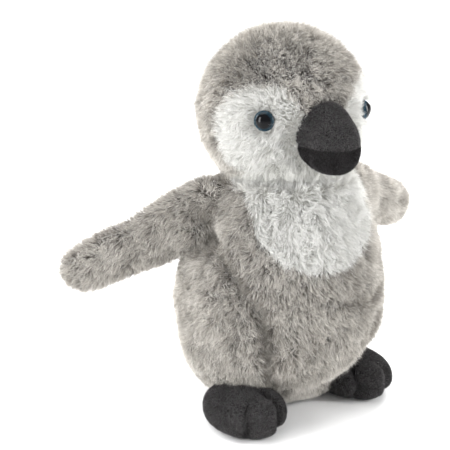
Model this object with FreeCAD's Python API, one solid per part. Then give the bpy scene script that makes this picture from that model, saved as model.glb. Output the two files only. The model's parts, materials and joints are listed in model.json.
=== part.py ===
import FreeCAD, Part
import math
import os

# Plush penguin, in millimetres. +Z is up, the face looks along -Y and the toy's own left is +X.
# The origin is on the floor, under the middle of the body.
# A long-pile skin is solid here up to the middle of its pile.

# Fabrics
backing = 1.2            # knitted cloth that the pile grows from
skin = 4.0               # long pile: backing and the inner half of the pile
short_skin = 1.6         # short pile of the beak and the feet
ease = 0.25              # room between stuffing and the skin round it
seam = 0.2               # room between two panels along their seam
play = 0.8               # room between pieces that move against each other
foot_play = 2.0          # the same round a foot, which tips as well as slides

# Torso: a pear, flattened from front to back
seat_half_width = 28.0
belly_half_width = 68.5
neck_half_width = 44.0
belly_flattening = 8.0   # how much less deep than wide it is at the belly
neck_flattening = 2.0
belly_height = 70.0
torso_height = 153.0
seat_back = 14.0         # how far behind the origin the seat lies
chest_forward = 6.0      # how far ahead of the origin the chest lies
seat_seam_height = 8.0
belly_panel_angle = 40.0  # each way from straight ahead

# Bib
bib_half_width = 40.0
bib_widest_height = 125.0
bib_bottom_height = 99.0

# Head
head_radius = 53.0
head_overlap = 19.5      # how deep the head sits in the top of the torso
lobe_radius = 26.5       # white patch round each eye
lobe_angle = 46.0
lobe_tilt = -7.0
chin_half_width = 34.0
chin_top = -8.0          # measured from the head's middle
crown_half_width = 20.0

# Neck
neck_ball_radius = 22.0
neck_drop = 40.5         # from the head's middle down to the middle of the neck
nod_limit = 10.0
turn_limit = 25.0

# Eyes
eye_radius = 6.0
eye_angle = 43.0
eye_tilt = 4.5
eye_back_thickness = 1.0
eye_dome_height = 4.2
eye_shank_radius = 2.0
eye_shank_length = 9.0
washer_radius = 6.5
washer_thickness = 1.5

# Beak
beak_base_radius = 19.5
beak_length = 32.0
beak_droop = 25.0
beak_root_forward = 45.0
beak_root_drop = 5.0     # below the head's middle
beak_taper_power = 2.2
beak_round_power = 1.8

# Flippers: flat paddles, round at both ends
flipper_root_radius = 21.0
flipper_tip_radius = 14.5
flipper_length = 88.0    # between the centres of the two round ends
flipper_half_thickness = 10.5
flipper_skin = 3.0
shoulder_out = 48.0
shoulder_back = 6.0
shoulder_head_gap = 2.3  # between the round end of a flipper and the head
flipper_sweep = {"left": 29.0, "right": 32.0}
flipper_droop = {"left": 19.0, "right": 26.5}
flipper_raise = 55.0
flipper_lower = 8.0

# Feet
foot_half_width = 25.0
foot_half_length = 30.0
foot_half_height = 15.0
foot_centre_height = 11.0
foot_out = 44.0
foot_forward = {"left": 20.0, "right": 33.0}
foot_limit = 7.0         # how far it tips each way
toe_stitch_radius = 0.8
toe_stitch_out = 8.5     # each side of the foot's middle line
toe_stitch_forward = 17.0

# Inside and trim
pouch_radius = 30.0
pouch_height = 26.0
pouch_floor = 7.0
label_width = 16.0
label_drop = 14.0
label_thickness = 0.6
label_angle = 150.0

sides = {"left": 1.0, "right": -1.0}
across = FreeCAD.Vector(1, 0, 0)
up = FreeCAD.Vector(0, 0, 1)
reach = 150.0            # far enough to pass through any piece

head_middle = FreeCAD.Vector(0, 0, torso_height + head_radius - head_overlap)
neck_middle = head_middle - up * neck_drop


def only_solid(shape):
    """The largest solid of a cut shape."""
    return max(shape.Solids, key=lambda solid: solid.Volume)


def minus(shape, rooms):
    for room in rooms:
        shape = shape.cut(room)
    return shape


def ball(middle, radius):
    return Part.makeSphere(radius, middle)


def ellipsoid(middle, half_x, half_y, half_z):
    stretch = FreeCAD.Matrix()
    stretch.scale(half_x / half_z, half_y / half_z, 1.0)
    shape = Part.makeSphere(half_z).transformGeometry(stretch)
    shape.translate(middle)
    return shape


def block(x_low, x_high, y_low, y_high, z_low, z_high):
    corner = FreeCAD.Vector(x_low, y_low, z_low)
    return Part.makeBox(x_high - x_low, y_high - y_low, z_high - z_low, corner)


def direction(turn, tilt):
    """A unit vector turned from straight ahead towards the left, and tilted up, in degrees."""
    a = math.radians(turn)
    b = math.radians(tilt)
    return FreeCAD.Vector(math.sin(a) * math.cos(b), -math.cos(a) * math.cos(b), math.sin(b))


def turned(shape, centre, axis, angle):
    copy = shape.copy()
    copy.rotate(centre, axis, angle)
    return copy


# Torso


def torso_half_width(z):
    """A superellipse from the seat to the belly, then a cosine from the belly to the neck."""
    if z < belly_height:
        share = (1 - (1 - z / belly_height) ** 2.4) ** (1 / 2.4)
        return seat_half_width + (belly_half_width - seat_half_width) * share
    climb = min((z - belly_height) / (torso_height - belly_height), 1)
    share = math.cos(math.pi / 2 * climb) ** 1.4
    return neck_half_width + (belly_half_width - neck_half_width) * share


def torso_flattening(z):
    share = min(z / belly_height, max(torso_height - z, 0) / (torso_height - belly_height))
    return neck_flattening + (belly_flattening - neck_flattening) * share


def torso_lean(z):
    """How far back the middle of the ring at this height lies."""
    if z < belly_height:
        return seat_back * (1 - z / belly_height) ** 2
    return -chest_forward * (z - belly_height) / (torso_height - belly_height)


def torso_ring(z, inset):
    half_width = torso_half_width(z) - inset
    half_depth = torso_half_width(z) - torso_flattening(z) - inset
    middle = FreeCAD.Vector(0, torso_lean(z), z)
    return Part.Wire(Part.Ellipse(
        middle + across * half_width, middle + FreeCAD.Vector(0, half_depth, 0), middle).toShape())


def torso_form(inset):
    """The pear, smaller by the inset all round."""
    heights = [belly_height * share for share in (0.1, 0.3, 0.6, 1.0)]
    heights += [belly_height + (torso_height - belly_height) * share for share in (0.3, 0.55, 0.8, 1.0)]
    floor = torso_ring(0, 0)
    floor.translate(up * inset)
    rings = [floor] + [torso_ring(z, inset) for z in heights]
    return Part.makeLoft(rings, True, False)


def head_room():
    """The space that the head passes through as it nods and turns, with play."""
    form = ball(head_middle, head_radius + play)
    rooms = [form]
    for nod in (-nod_limit, nod_limit):
        nodded = turned(form, neck_middle, across, nod)
        rooms += [turned(nodded, neck_middle, up, turn) for turn in (-turn_limit, 0, turn_limit)]
    return rooms


def neck_room():
    return ball(neck_middle, neck_ball_radius + play)


def bib_column():
    """Everything straight ahead of the torso within the bib's outline."""
    depth = bib_widest_height - bib_bottom_height
    middle = FreeCAD.Vector(0, 0, bib_widest_height)
    if bib_half_width > depth:
        oval = Part.Ellipse(middle + across * bib_half_width, middle - up * depth, middle)
    else:
        oval = Part.Ellipse(middle - up * depth, middle + across * bib_half_width, middle)
    oval = Part.Face(Part.Wire(oval.toShape())).extrude(FreeCAD.Vector(0, -reach, 0))
    above = block(-bib_half_width, bib_half_width, -reach, 0, bib_widest_height, torso_height + reach)
    return oval.fuse(above)


def wedge(half_angle):
    """Everything within this angle of straight ahead."""
    points = [FreeCAD.Vector(0, 0, -reach)]
    points += [direction(turn, 0) * reach - up * reach for turn in (-half_angle, half_angle)]
    return Part.Face(Part.makePolygon(points + points[:1])).extrude(up * 3 * reach)


def torso_panels(rooms):
    shell = minus(torso_form(0).cut(torso_form(skin)), rooms)
    below = block(-reach, reach, -reach, reach, -reach, seat_seam_height)
    above = block(-reach, reach, -reach, reach, seat_seam_height + seam, 3 * reach)
    rest = shell.common(above)
    panels = {
        "seat_panel": only_solid(shell.common(below)),
        "bib_panel": only_solid(rest.common(bib_column())),
    }
    rest = rest.cut(bib_column())
    panels["belly_panel"] = only_solid(rest.common(wedge(belly_panel_angle)))
    rest = rest.cut(wedge(belly_panel_angle))
    for side, sign in sides.items():
        half = block(min(0, sign * reach), max(0, sign * reach), -reach, reach, -reach, 3 * reach)
        half.translate(across * sign * seam / 2)
        panels[side + "_side_panel"] = only_solid(rest.common(half))
    return panels


def pouch():
    """A flat bag of pellets on the seat, with rounded rims, dented where the feet are."""
    bag = Part.makeCylinder(pouch_radius, pouch_height, FreeCAD.Vector(0, seat_back, pouch_floor))
    bag = bag.makeFillet(pouch_height * 0.42, bag.Edges[:1] + bag.Edges[2:3])
    return minus(bag, foot_room("left") + foot_room("right"))


def torso_stuffing(rooms):
    bag_room = Part.makeCylinder(
        pouch_radius + ease, pouch_height + 2 * ease,
        FreeCAD.Vector(0, seat_back, pouch_floor - ease))
    return only_solid(minus(torso_form(skin + ease), [bag_room] + rooms))


# Head


def face_column():
    """Both round patches and the chin between them, as one solid."""
    shape = block(-chin_half_width, chin_half_width, -reach, 0, 0, head_middle.z + chin_top)
    for sign in sides.values():
        axis = direction(sign * lobe_angle, lobe_tilt)
        shape = shape.fuse(Part.makeCylinder(lobe_radius, reach, head_middle, axis))
    return shape


def eye_seat(side):
    """The point on the backing where the eye sits, and the way it looks."""
    axis = direction(sides[side] * eye_angle, eye_tilt)
    return head_middle + axis * (head_radius - skin + backing), axis


def washer_depth():
    """How far behind the seat a flat washer clears the round inside of the skin."""
    inside = head_radius - skin
    return inside + backing - math.sqrt((inside - ease) ** 2 - washer_radius ** 2)


def eye_cuts(side):
    seat, axis = eye_seat(side)
    pile_room = Part.makeCylinder(eye_radius + seam, reach, seat, axis)
    hole = Part.makeCylinder(eye_shank_radius + seam, 2 * skin, seat - axis * 1.5 * skin, axis)
    return [pile_room, hole]


def eye_inner_room(side):
    """Room in the stuffing for the shank and the washer."""
    seat, axis = eye_seat(side)
    shank = Part.makeCylinder(
        eye_shank_radius + ease, eye_shank_length + ease, seat - axis * (eye_shank_length + ease), axis)
    depth = washer_depth() + washer_thickness + ease
    washer = Part.makeCylinder(washer_radius + ease, depth, seat - axis * depth, axis)
    return [shank, washer]


def eye_parts(side):
    seat, axis = eye_seat(side)
    back = Part.makeCylinder(eye_radius, eye_back_thickness, seat, axis)
    shank = Part.makeCylinder(eye_shank_radius, eye_shank_length, seat - axis * eye_shank_length, axis)
    rim = seat + axis * eye_back_thickness
    dome_radius = (eye_radius ** 2 + eye_dome_height ** 2) / (2 * eye_dome_height)
    dome = ball(rim + axis * (eye_dome_height - dome_radius), dome_radius)
    dome = dome.common(Part.makeCylinder(eye_radius + 1, eye_dome_height + 1, rim, axis))
    below = washer_depth() + washer_thickness
    washer = Part.makeCylinder(washer_radius, washer_thickness, seat - axis * below, axis)
    washer = washer.cut(Part.makeCylinder(eye_shank_radius, reach, seat - axis * reach, axis))
    return {
        side + "_eye_dome": dome,
        side + "_eye_back": back.fuse(shank).removeSplitter(),
        side + "_eye_washer": washer,
    }


def head_panels():
    shell = ball(head_middle, head_radius).cut(ball(head_middle, head_radius - skin))
    shell = shell.cut(neck_room())
    face = shell.common(face_column())
    rest = shell.cut(face_column())
    strip = block(-crown_half_width, crown_half_width, -reach, reach, 0, head_middle.z + reach)
    panels = {"crown_panel": only_solid(rest.common(strip))}
    for side, sign in sides.items():
        inner = min(0, sign * reach)
        half = block(inner, inner + reach, -reach, reach, 0, head_middle.z + reach)
        half.translate(across * sign * seam / 2)
        panels[side + "_face_panel"] = only_solid(face.common(half).cut(eye_cuts(side)))
        half.translate(across * sign * crown_half_width)
        panels[side + "_cheek_panel"] = only_solid(rest.common(half))
    return panels


def head_stuffing():
    form = ball(head_middle, head_radius - skin - ease)
    cuts = [neck_room()]
    for side in sides:
        cuts += eye_inner_room(side)
    return only_solid(form.cut(cuts))


# Beak


def beak_form(inset):
    """A rounded cone, made by turning one outline about the beak's drooping axis."""
    radius = beak_base_radius - inset
    length = beak_length - inset
    steps = 9
    points = []
    for i in range(steps):
        share = math.sin(math.pi / 2 * i / (steps - 1))
        width = max(1 - share ** beak_taper_power, 0) ** (1 / beak_round_power)
        points.append(FreeCAD.Vector(radius * width, 0, length * share))
    curve = Part.BSplineCurve()
    curve.interpolate(points)
    inner = FreeCAD.Vector(radius, 0, -beak_base_radius)
    foot = FreeCAD.Vector(0, 0, -beak_base_radius)
    wire = Part.Wire([
        curve.toShape(), Part.makeLine(points[-1], foot),
        Part.makeLine(foot, inner), Part.makeLine(inner, points[0])])
    form = Part.Face(wire).revolve(FreeCAD.Vector(), up, 360)
    form.rotate(FreeCAD.Vector(), across, 90 + beak_droop)
    form.translate(head_middle - up * beak_root_drop + FreeCAD.Vector(0, -beak_root_forward, 0))
    return form


def beak_parts():
    head = ball(head_middle, head_radius + seam)
    shell = beak_form(0).cut(beak_form(short_skin)).cut(head)
    root = head_middle - up * (beak_root_drop + beak_base_radius * 0.2)
    root += FreeCAD.Vector(0, -beak_root_forward, 0)
    below = block(-reach, reach, -2 * reach, reach, -reach, -seam / 2)
    above = block(-reach, reach, -2 * reach, reach, seam / 2, reach)
    for half in (below, above):
        half.rotate(FreeCAD.Vector(), across, beak_droop)
        half.translate(root)
    return {
        "beak_upper_panel": only_solid(shell.common(above)),
        "beak_lower_panel": only_solid(shell.common(below)),
        "beak_stuffing": only_solid(beak_form(short_skin + ease).cut(head)),
    }


# Flippers


def half_outline(inset):
    """The upper half of the paddle's outline, along +X: two round ends and the line that touches both."""
    root = flipper_root_radius - inset
    tip = flipper_tip_radius - inset
    slope = math.asin((root - tip) / flipper_length)
    turn = FreeCAD.Vector(math.sin(slope), 0, math.cos(slope))
    half_back = FreeCAD.Vector(-math.sin(math.pi / 4), 0, math.sin(math.pi / 4))
    half_on = FreeCAD.Vector(math.cos(math.pi / 4 - slope / 2), 0, math.sin(math.pi / 4 - slope / 2))
    far = FreeCAD.Vector(flipper_length, 0, 0)
    root_arc = Part.Arc(FreeCAD.Vector(-root, 0, 0), half_back * root, turn * root)
    tip_arc = Part.Arc(far + turn * tip, far + half_on * tip, far + across * tip)
    return Part.Face(Part.Wire([
        root_arc.toShape(), Part.makeLine(turn * root, far + turn * tip), tip_arc.toShape(),
        Part.makeLine(far + across * tip, across * -root)]))


def paddle(inset):
    """A flat paddle along +X, thin along Y, round about the shoulder and at the tip."""
    form = half_outline(inset).revolve(FreeCAD.Vector(), across, 360)
    flatten = FreeCAD.Matrix()
    flatten.scale(1.0, (flipper_half_thickness - inset) / (flipper_root_radius - inset), 1.0)
    return form.transformGeometry(flatten)


def shoulder(side):
    """The hinge's point, as far below the head as the flipper's round end needs."""
    spread = head_radius + flipper_root_radius + shoulder_head_gap
    drop = math.sqrt(spread ** 2 - shoulder_out ** 2 - shoulder_back ** 2)
    return FreeCAD.Vector(sides[side] * shoulder_out, shoulder_back, head_middle.z - drop)


def at_shoulder(shape, side):
    """The shape, drawn along +X, put at the shoulder as the flipper rests."""
    placed = turned(shape, FreeCAD.Vector(), FreeCAD.Vector(0, 1, 0), flipper_droop[side])
    placed.rotate(FreeCAD.Vector(), up, flipper_sweep[side])
    if side == "right":
        placed = placed.mirror(FreeCAD.Vector(), across)
    placed.translate(shoulder(side))
    return placed


def flipper_parts(side):
    shell = paddle(0).cut(paddle(flipper_skin))
    front = block(-reach, reach, -reach, -seam / 2, -reach, reach)
    back = block(-reach, reach, seam / 2, reach, -reach, reach)
    return {
        side + "_flipper_front_panel": at_shoulder(shell.common(front), side),
        side + "_flipper_back_panel": at_shoulder(shell.common(back), side),
        side + "_flipper_stuffing": at_shoulder(paddle(flipper_skin + ease), side),
    }


def flipper_room(side):
    """A slot that the flipper swings in, with play."""
    half_slot = flipper_half_thickness + play
    upper = half_outline(-play).extrude(FreeCAD.Vector(0, 2 * half_slot, 0))
    upper.translate(FreeCAD.Vector(0, -half_slot, 0))
    paddle_room = upper.fuse(upper.mirror(FreeCAD.Vector(), up)).removeSplitter()
    swung = [turned(paddle_room, FreeCAD.Vector(), FreeCAD.Vector(0, 1, 0), -lift)
             for lift in (-flipper_lower, flipper_raise / 2, flipper_raise)]
    return [at_shoulder(paddle_room.fuse(swung).removeSplitter(), side)]


# Feet


def foot_middle(side):
    return FreeCAD.Vector(sides[side] * foot_out, -foot_forward[side], foot_centre_height)


def foot_form(side, inset):
    """An ellipsoid with a flat sole."""
    form = ellipsoid(
        foot_middle(side), foot_half_width - inset, foot_half_length - inset, foot_half_height - inset)
    return form.common(block(-reach, reach, -reach, reach, inset, reach))


def foot_room(side):
    """The space that the foot passes through as it tips, with play."""
    lift = foot_half_length * math.sin(math.radians(foot_limit))
    return [ellipsoid(
        foot_middle(side), foot_half_width + foot_play, foot_half_length + foot_play,
        foot_half_height + foot_play + lift)]


def toe_threads(side, radius):
    """Two threads that pull the upper down to the sole between the toes."""
    threads = []
    for step in (-1, 1):
        foot = foot_middle(side) + FreeCAD.Vector(step * toe_stitch_out, -toe_stitch_forward, 0)
        drop = 1 - (toe_stitch_out / foot_half_width) ** 2 - (toe_stitch_forward / foot_half_length) ** 2
        top = foot_centre_height + foot_half_height * math.sqrt(drop)
        foot.z = short_skin / 2
        threads.append(Part.makeCylinder(radius, top - foot.z, foot, up))
    return threads


def foot_parts(side):
    holes = toe_threads(side, toe_stitch_radius + seam / 2)
    shell = foot_form(side, 0).cut([foot_form(side, short_skin)] + holes)
    sole_room = block(-reach, reach, -reach, reach, -reach, short_skin)
    upper_room = block(-reach, reach, -reach, reach, short_skin + seam, reach)
    return {
        side + "_foot_upper": only_solid(shell.common(upper_room)),
        side + "_foot_sole": only_solid(shell.common(sole_room)),
        side + "_foot_stuffing": foot_form(side, short_skin + ease).cut(holes),
        side + "_toe_stitches": Part.makeCompound(toe_threads(side, toe_stitch_radius)),
    }


# Trim


def care_label():
    """A blank folded tape that stands out of the seat seam at the back."""
    z = seat_seam_height
    top = z + label_thickness
    away = direction(label_angle, 0)
    wide = torso_half_width(top)
    deep = wide - torso_flattening(top)
    depth = 1 / math.hypot(away.x / wide, away.y / deep)
    root = FreeCAD.Vector(0, torso_lean(z), z) + away * (depth + play)
    tape = Part.makeBox(label_width, label_drop, label_thickness)
    tape.translate(FreeCAD.Vector(-label_width / 2, -label_drop, 0))
    tape.rotate(FreeCAD.Vector(), up, label_angle)
    tape.translate(root)
    return tape


def build():
    rooms = head_room() + [neck_room()]
    for side in sides:
        rooms += flipper_room(side) + foot_room(side)
    nodes = torso_panels(rooms)
    nodes["torso_stuffing"] = torso_stuffing(rooms)
    nodes["pellet_pouch"] = pouch()
    nodes["care_label"] = care_label()
    nodes["neck_stuffing"] = ball(neck_middle, neck_ball_radius)
    nodes.update(head_panels())
    nodes["head_stuffing"] = head_stuffing()
    nodes.update(beak_parts())
    for side in sides:
        nodes.update(eye_parts(side))
        nodes.update(flipper_parts(side))
        nodes.update(foot_parts(side))
    return nodes


os.makedirs("parts", exist_ok=True)
for name, shape in build().items():
    shape.exportStep("parts/" + name + ".step")
    size = shape.BoundBox
    print(name, shape.isValid(), len(shape.Solids), round(shape.Volume), [
        round(v, 1) for v in (size.XMin, size.XMax, size.YMin, size.YMax, size.ZMin, size.ZMax)])
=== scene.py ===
import json
import math

import bpy
import numpy as np
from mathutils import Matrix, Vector


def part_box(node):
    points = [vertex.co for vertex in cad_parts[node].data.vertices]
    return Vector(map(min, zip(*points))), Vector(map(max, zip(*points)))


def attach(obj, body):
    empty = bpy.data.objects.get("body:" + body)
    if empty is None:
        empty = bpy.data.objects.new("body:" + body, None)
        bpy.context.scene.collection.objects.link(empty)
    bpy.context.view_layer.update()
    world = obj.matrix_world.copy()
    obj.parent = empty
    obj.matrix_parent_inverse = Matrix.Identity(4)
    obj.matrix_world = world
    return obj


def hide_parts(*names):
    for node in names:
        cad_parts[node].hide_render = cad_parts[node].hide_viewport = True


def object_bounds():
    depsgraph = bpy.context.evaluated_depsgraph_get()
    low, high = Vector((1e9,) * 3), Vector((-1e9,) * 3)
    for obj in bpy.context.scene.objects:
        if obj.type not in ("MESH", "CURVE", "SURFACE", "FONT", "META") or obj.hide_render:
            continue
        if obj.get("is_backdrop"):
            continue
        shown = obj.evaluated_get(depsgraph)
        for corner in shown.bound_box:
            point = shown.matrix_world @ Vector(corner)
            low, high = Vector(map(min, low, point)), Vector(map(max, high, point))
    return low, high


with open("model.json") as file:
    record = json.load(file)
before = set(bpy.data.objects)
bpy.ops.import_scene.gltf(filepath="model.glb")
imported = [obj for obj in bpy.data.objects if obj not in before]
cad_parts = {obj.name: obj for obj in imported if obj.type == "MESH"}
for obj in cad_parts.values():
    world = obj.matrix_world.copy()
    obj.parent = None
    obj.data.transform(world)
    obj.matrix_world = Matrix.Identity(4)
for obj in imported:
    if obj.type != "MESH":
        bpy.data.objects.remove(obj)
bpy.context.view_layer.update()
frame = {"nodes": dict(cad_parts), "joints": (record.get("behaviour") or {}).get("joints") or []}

# A plush penguin: stuffed cloth forms with a pile of separate hairs growing from them.
# Shapes are worked out in millimetres and put into their meshes in metres.
mm = 0.001
scene = bpy.context.scene
scene.view_settings.view_transform = "Standard"


camera = {"azimuth": -31.0, "elevation": 17.4, "distance": 712.0, "lens": 90.4, "aim": (0, 0, 115),
          "right": -35.3, "lift": -2.5}


def placeCamera():
    # on a ball round the aim, turned by azimuth and raised by elevation; the aim is shifted across and up
    turn, tilt = math.radians(camera["azimuth"]), math.radians(camera["elevation"])
    back = Vector((math.sin(turn) * math.cos(tilt), -math.cos(turn) * math.cos(tilt), math.sin(tilt)))
    across = Vector((math.cos(turn), math.sin(turn), 0))
    aim = Vector(camera["aim"])
    place = aim + back * camera["distance"]
    aim += across * camera["right"] + back.cross(across) * camera["lift"]
    eye = bpy.data.objects.new("camera", bpy.data.cameras.new("camera"))
    eye.data.lens = camera["lens"]
    eye.location = place * mm
    eye.rotation_euler = (aim - place).to_track_quat("-Z", "Y").to_euler()
    scene.collection.objects.link(eye)
    scene.camera = eye


studio = {
    "floorHalf": 30000.0, "paper": (0.90, 0.90, 0.90),
    "sky": (1.0, 1.0, 1.0), "skyPower": 0.60,
    "sunPower": 2.35, "sunWide": 60.0, "sunFrom": (-0.10, 0.30, 1.0),
    "panels": [  # place, size across and up, power in watts
        ((-830, -40, 330), (260, 620), 7.0),
        ((640, -560, 330), (240, 620), 8.0),
        ((620, 480, 420), (300, 500), 10.0),
        ((-500, 620, 420), (300, 500), 6.0),
    ],
}


def placeStudio():
    # a white floor, an even sky, one wide overhead light and four softboxes
    corners = np.array([[-1, -1, 0], [1, -1, 0], [1, 1, 0], [-1, 1, 0]]) * studio["floorHalf"]
    putMesh("floor", corners, np.array([[0, 1, 2, 3]]), paper("floorPaper", studio["paper"]))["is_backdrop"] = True
    world = bpy.data.worlds.new("studioSky")
    world.use_nodes = True
    sky = world.node_tree.nodes["Background"]
    sky.inputs["Color"].default_value = (*studio["sky"], 1)
    sky.inputs["Strength"].default_value = studio["skyPower"]
    scene.world = world
    sun = bpy.data.objects.new("overhead", bpy.data.lights.new("overhead", "SUN"))
    sun.data.energy, sun.data.angle = studio["sunPower"], math.radians(studio["sunWide"])
    sun.rotation_euler = Vector(studio["sunFrom"]).to_track_quat("Z", "Y").to_euler()
    scene.collection.objects.link(sun)
    for i, (place, size, power) in enumerate(studio["panels"]):
        lamp = bpy.data.objects.new("softbox%d" % i, bpy.data.lights.new("softbox%d" % i, "AREA"))
        lamp.data.shape = "RECTANGLE"
        lamp.data.size, lamp.data.size_y = size[0] * mm, size[1] * mm
        lamp.data.energy = power
        lamp.location = Vector(place) * mm
        lamp.rotation_euler = (Vector((0, 0, 130)) - Vector(place)).to_track_quat("-Z", "Y").to_euler()
        scene.collection.objects.link(lamp)


def putMesh(name, points, faces, material=None, hairMap=None):
    # points in millimetres, faces as an array of corners; hairMap is each point's place on the colour map
    mesh = bpy.data.meshes.new(name)
    mesh.vertices.add(len(points))
    mesh.vertices.foreach_set("co", (points * mm).astype(np.float32).ravel())
    mesh.loops.add(faces.size)
    mesh.loops.foreach_set("vertex_index", faces.astype(np.int32).ravel())
    mesh.polygons.add(len(faces))
    mesh.polygons.foreach_set("loop_start", np.arange(0, faces.size, faces.shape[1], dtype=np.int32))
    mesh.update(calc_edges=True)
    mesh.polygons.foreach_set("use_smooth", np.ones(len(faces), bool))
    if hairMap is not None:
        layer = mesh.uv_layers.new(name="OFBake")
        layer.data.foreach_set("uv", hairMap[faces.ravel()].astype(np.float32).ravel())
    thing = bpy.data.objects.new(name, mesh)
    scene.collection.objects.link(thing)
    if material is not None:
        mesh.materials.append(material)
    return thing


def readMesh(mesh):
    # points in millimetres and faces cut into triangles, as arrays
    mesh.calc_loop_triangles()
    points = np.empty(len(mesh.vertices) * 3, np.float32)
    mesh.vertices.foreach_get("co", points)
    corners = np.empty(len(mesh.loop_triangles) * 3, np.int32)
    mesh.loop_triangles.foreach_get("vertices", corners)
    return points.reshape(-1, 3).astype(float) / mm, corners.reshape(-1, 3)


def lengths(vectors):
    # square root of the sum of squares along the last axis
    return np.sqrt((vectors * vectors).sum(axis=-1, keepdims=True))


def unit(vectors):
    # each vector over its own length
    return vectors / np.maximum(lengths(vectors), 1e-9)


def smoothStep(values, low, high):
    # 0 below low, 1 above high, and 3 s^2 - 2 s^3 between them
    share = np.clip((values - low) / (high - low), 0, 1)
    return share * share * (3 - 2 * share)


def normalsOf(points, faces):
    # each point's normal is the mean of its triangles', weighted by their area
    a, b, c = points[faces[:, 0]], points[faces[:, 1]], points[faces[:, 2]]
    flat = np.cross(b - a, c - a)
    total = np.zeros_like(points)
    for corner in range(3):
        for axis in range(3):
            total[:, axis] += np.bincount(faces[:, corner], flat[:, axis], len(points))
    return unit(total)


def ripple(points, size, seed):
    # smooth noise from -1 to 1: seven sine waves about size long, each in its own direction
    dice = np.random.default_rng(seed)
    waves = unit(dice.normal(size=(7, 3))) * (2 * math.pi / size) * dice.uniform(0.6, 1.7, (7, 1))
    return np.sin(points @ waves.T + dice.uniform(0, 6.28, 7)).sum(axis=1) / 3.2


def rippleVector(points, size, seed):
    # three ripples side by side, one for each axis
    return np.stack([ripple(points, size, seed + step) for step in range(3)], axis=1)


def gridFaces(rows, columns, closed=True):
    # quads of a grid of rows by columns, whose last column joins the first when closed
    across = np.arange(columns if closed else columns - 1)
    row, column = np.meshgrid(np.arange(rows - 1), across, indexing="ij")
    following = (column + 1) % columns
    return np.stack([row * columns + column, row * columns + following,
                     (row + 1) * columns + following, (row + 1) * columns + column], axis=-1).reshape(-1, 4)


def closedTube(rings):
    # rings is rows x columns x 3; each end is shut with a fan to the middle of its ring
    rows, columns = rings.shape[:2]
    points = np.concatenate([rings.reshape(-1, 3), [rings[0].mean(axis=0)], [rings[-1].mean(axis=0)]])
    quads = gridFaces(rows, columns)
    sides = np.concatenate([quads[:, [0, 1, 2]], quads[:, [0, 2, 3]]])
    column = np.arange(columns)
    following = (column + 1) % columns
    first = np.stack([following, column, np.full(columns, rows * columns)], axis=1)
    last = np.stack([(rows - 1) * columns + column, (rows - 1) * columns + following,
                     np.full(columns, rows * columns + 1)], axis=1)
    return points, np.concatenate([sides, first, last])


def nodeBox(*nodes):
    # the lowest and the highest corner of the box round some CAD nodes, in millimetres
    boxes = np.array([[list(corner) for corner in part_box(node)] for node in nodes]) / mm
    return boxes[:, 0].min(axis=0), boxes[:, 1].max(axis=0)


def newFinish(name):
    # a material with its node tree, ready to be wired
    finish = bpy.data.materials.new(name)
    finish.use_nodes = True
    return finish, finish.node_tree.nodes, finish.node_tree.links, finish.node_tree.nodes["Principled BSDF"]


def ramp(nodes, stops):
    # a colour ramp with its stops at their places
    node = nodes.new("ShaderNodeValToRGB")
    bar = node.color_ramp
    bar.elements[0].position, bar.elements[1].position = stops[0][0], stops[-1][0]
    for place, colour in stops[1:-1]:
        bar.elements.new(place)
    for element, (place, colour) in zip(bar.elements, stops):
        element.color = (*colour, 1)
    return node


def paper(name, colour):
    # white card with a very faint grain
    finish, nodes, links, shader = newFinish(name)
    grain = nodes.new("ShaderNodeTexNoise")
    grain.inputs["Scale"].default_value = 40
    tone = ramp(nodes, [(0.3, [c * 0.985 for c in colour]), (0.7, colour)])
    links.new(nodes.new("ShaderNodeTexCoord").outputs["Object"], grain.inputs["Vector"])
    links.new(grain.outputs["Fac"], tone.inputs["Fac"])
    links.new(tone.outputs["Color"], shader.inputs["Base Color"])
    shader.inputs["Roughness"].default_value = 0.9
    return finish


def multiplied(nodes, links, first, second):
    # the product of two colours
    mix = nodes.new("ShaderNodeMix")
    mix.data_type = "RGBA"
    mix.blend_type = "MULTIPLY"
    mix.inputs["Factor"].default_value = 1.0
    links.new(first, mix.inputs[6])
    links.new(second, mix.inputs[7])
    return mix.outputs[2]


def hairFinish(name, root, middle, tip, dim, sheen=0.25, roughness=0.75):
    # v runs from root to tip and u carries each hair's own tint, its random tone less the painted shade it is
    # given; fine streaks run along the hair. The ramp from a dark root to a light tip is partly the yarn's own
    # colour, partly painted shade deep in the pile and painted light at the tips
    finish, nodes, links, shader = newFinish(name)
    where = nodes.new("ShaderNodeUVMap")
    where.uv_map = "OFBake"
    split = nodes.new("ShaderNodeSeparateXYZ")
    links.new(where.outputs["UV"], split.inputs["Vector"])
    # painted shade at the root and painted light at the tip, over the yarn's own colour
    along = ramp(nodes, [(0.0, root), (0.45, middle), (1.0, tip)])
    links.new(split.outputs["Y"], along.inputs["Fac"])
    tint = ramp(nodes, [(0.0, dim), (1.0, (1.0, 1.0, 1.0))])
    links.new(split.outputs["X"], tint.inputs["Fac"])
    stretch = nodes.new("ShaderNodeMapping")
    stretch.inputs["Scale"].default_value = (220, 5, 1)
    streak = nodes.new("ShaderNodeTexNoise")
    streak.inputs["Scale"].default_value = 1.0
    streak.inputs["Detail"].default_value = 2.0
    links.new(where.outputs["UV"], stretch.inputs["Vector"])
    links.new(stretch.outputs["Vector"], streak.inputs["Vector"])
    fine = ramp(nodes, [(0.3, (0.86, 0.86, 0.86)), (0.7, (1.0, 1.0, 1.0))])
    links.new(streak.outputs["Fac"], fine.inputs["Fac"])
    tinted = multiplied(nodes, links, along.outputs["Color"], tint.outputs["Color"])
    links.new(multiplied(nodes, links, tinted, fine.outputs["Color"]), shader.inputs["Base Color"])
    shader.inputs["Roughness"].default_value = roughness
    shader.inputs["Specular IOR Level"].default_value = 0.25
    shader.inputs["Sheen Weight"].default_value = sheen
    shader.inputs["Sheen Roughness"].default_value = 0.5
    return finish


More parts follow.
